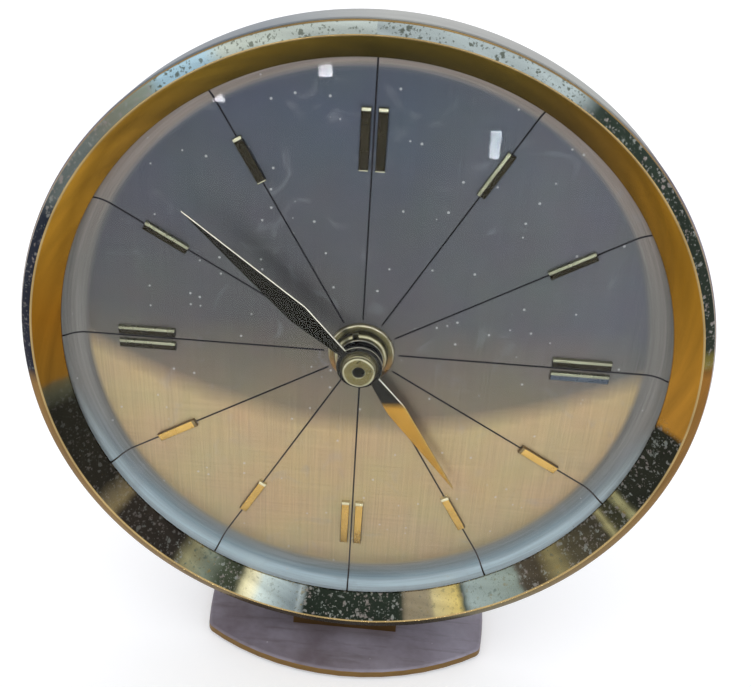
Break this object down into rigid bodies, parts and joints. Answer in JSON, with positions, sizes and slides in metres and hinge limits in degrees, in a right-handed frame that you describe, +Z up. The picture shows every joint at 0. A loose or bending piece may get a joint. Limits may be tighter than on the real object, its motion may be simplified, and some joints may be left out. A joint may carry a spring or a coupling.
{
  "type": "desk clock",
  "caption": "Round desk clock on a low flat foot: broad turned brass bezel, domed glass, brushed dial with raised bars and radial lines, battery balance movement.",
  "frame": {"origin": "on the table plane, under the middle of the foot plate, which is the middle of the clock's bounding box", "axes": "+X to the viewer's right of the dial, +Y from the dial towards the back cover, +Z up; the dial faces -Y"},
  "size_m": [0.1614, 0.0648, 0.1701],
  "materials": {
    "brown_lacquer": "worn satin lacquer, grey-brown",
    "polished_brass": "mirror polished, spotted with tarnish",
    "aged_brass": "dull, aged",
    "hub_brass": "turned, olive tarnish",
    "hand_brass": "polished, flat",
    "gilt_bars": "polished gilt",
    "movement_brass": "brushed",
    "brushed_dial": "fine upright brushing",
    "black_ink": "black enamel line",
    "glass": "clear, convex",
    "felt": "green felt",
    "steel": "plated",
    "spring_steel": "blued spring strip",
    "rubber": "soft washer",
    "black_plastic": "moulded, fine texture",
    "knob_plastic": "moulded, fluted",
    "copper_winding": "lacquered copper wire",
    "board": "phenolic paper board",
    "battery_jacket": "plain printed jacket, no lettering",
    "magnet": "sintered"
  },
  "bodies": {
    "stand": {"foot_plate": "brown_lacquer", "foot_pad": "felt", "foot_screws": "steel", "pedestal_block": "aged_brass", "foot_saddle": "steel", "case_shell": "brown_lacquer", "bezel": "polished_brass", "crystal": "glass", "crystal_gasket": "black_plastic", "dial_plate": "brushed_dial", "dial_lines": "black_ink", "hour_bars": "gilt_bars", "dial_washer": "hub_brass", "ring_nut": "hub_brass", "fixing_washer": "rubber", "centre_stem": "hub_brass", "front_plate": "movement_brass", "back_plate": "movement_brass", "movement_pillars": "movement_brass", "pillar_screws": "steel", "minute_wheel_post": "steel", "balance_bush": "movement_brass", "hairspring": "spring_steel", "hairspring_stud": "movement_brass", "drive_coil": "copper_winding", "circuit_board": "board", "board_parts": "black_plastic", "battery": "battery_jacket", "battery_holder": "black_plastic", "battery_contacts": "spring_steel", "back_cover": "black_plastic", "cover_screws": "steel", "hatch_pin": "steel"},
    "minute_group": {"minute_hand": "hand_brass", "hand_nut": "hub_brass", "minute_arbor": "hub_brass", "centre_wheel": "movement_brass"},
    "hour_group": {"hour_hand": "hand_brass", "hour_wheel": "movement_brass"},
    "minute_wheel_group": {"minute_wheel": "movement_brass", "minute_wheel_pinion": "steel"},
    "third_wheel_group": {"third_wheel": "movement_brass", "third_pinion": "steel"},
    "setting_group": {"setting_stem": "steel", "set_knob": "knob_plastic"},
    "balance_group": {"balance_wheel": "movement_brass", "balance_magnets": "magnet"},
    "regulator": {"regulator_lever": "steel"},
    "hatch": {"battery_hatch": "black_plastic"}
  },
  "joints": [
    {"name": "minute_turn", "type": "hinge", "parent": "stand", "child": "minute_group", "pos_m": [0, -0.008, 0.0894], "axis": [0, 1, 0], "continuous": true},
    {"name": "hour_turn", "type": "hinge", "parent": "stand", "child": "hour_group", "pos_m": [0, -0.008, 0.0894], "axis": [0, 1, 0], "continuous": true},
    {"name": "minute_wheel_turn", "type": "hinge", "parent": "stand", "child": "minute_wheel_group", "pos_m": [0.01103, -0.008, 0.08746], "axis": [0, 1, 0], "continuous": true},
    {"name": "third_wheel_turn", "type": "hinge", "parent": "stand", "child": "third_wheel_group", "pos_m": [-0.0148, -0.008, 0.09479], "axis": [0, 1, 0], "continuous": true},
    {"name": "setting_turn", "type": "hinge", "parent": "stand", "child": "setting_group", "pos_m": [0.01298, -0.008, 0.07643], "axis": [0, 1, 0], "continuous": true},
    {"name": "balance_swing", "type": "hinge", "parent": "stand", "child": "balance_group", "pos_m": [0, -0.008, 0.1154], "axis": [0, 1, 0], "range_deg": [-150, 150], "stiffness_Nm_per_rad": 0.00003},
    {"name": "regulator_swing", "type": "hinge", "parent": "stand", "child": "regulator", "pos_m": [0, -0.008, 0.1154], "axis": [0, 1, 0], "range_deg": [-20, 20]},
    {"name": "hatch_swing", "type": "hinge", "parent": "stand", "child": "hatch", "pos_m": [0, 0.0258, 0.0465], "axis": [-1, 0, 0], "range_deg": [0, 100]}
  ],
  "couplings": [
    {"joint": "hour_turn", "follows": "minute_turn", "ratio": 0.083333},
    {"joint": "minute_wheel_turn", "follows": "minute_turn", "ratio": -0.33333},
    {"joint": "third_wheel_turn", "follows": "minute_turn", "ratio": -6},
    {"joint": "setting_turn", "follows": "minute_turn", "ratio": 1}
  ]
}
